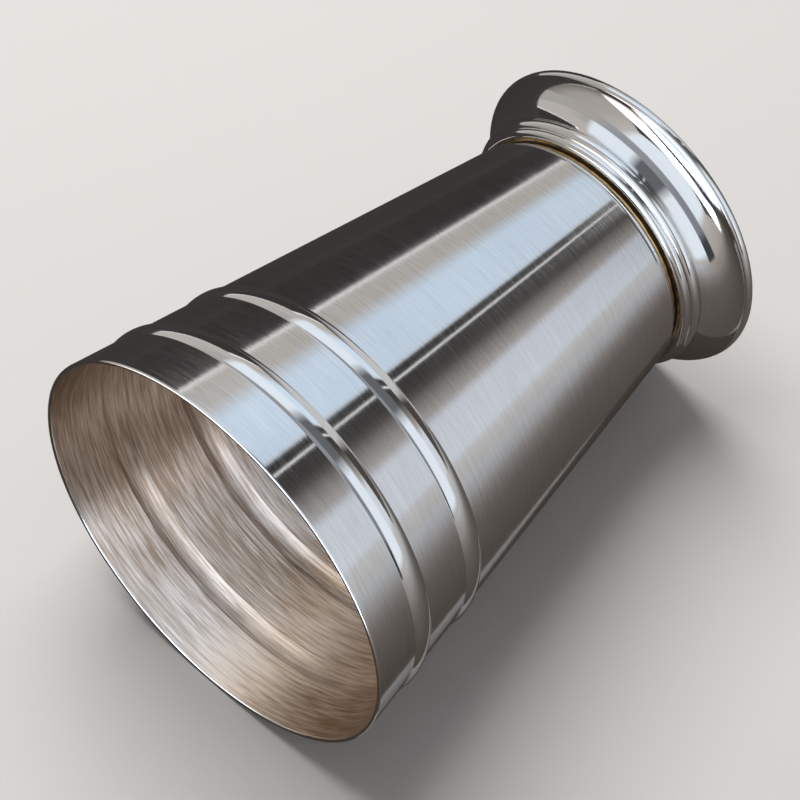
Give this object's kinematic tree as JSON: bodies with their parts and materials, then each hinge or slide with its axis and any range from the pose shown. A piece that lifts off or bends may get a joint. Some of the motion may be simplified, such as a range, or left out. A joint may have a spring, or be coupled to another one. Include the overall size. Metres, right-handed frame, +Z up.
{
  "type": "julep cup",
  "caption": "Polished steel julep cup: tapered drinking cup with raised beads below a rounded lip, brazed to a hollow flared foot with rings and a cove.",
  "frame": {"origin": "centre of the standing face under the foot", "axes": "+Z up along the cup's axis towards the mouth; the cup is round, so X and Y are free: -Y faces the viewer"},
  "size_m": [0.084, 0.084, 0.1134],
  "materials": {
    "body_steel": "polished outside with fine hairlines round the wall, satin turned finish inside",
    "foot_steel": "mirror-polished stainless steel",
    "braze": "cleaned braze filler, warm golden line"
  },
  "bodies": {
    "root": {"cup_body": "body_steel", "foot": "foot_steel", "braze_seam": "braze"}
  },
  "joints": []
}
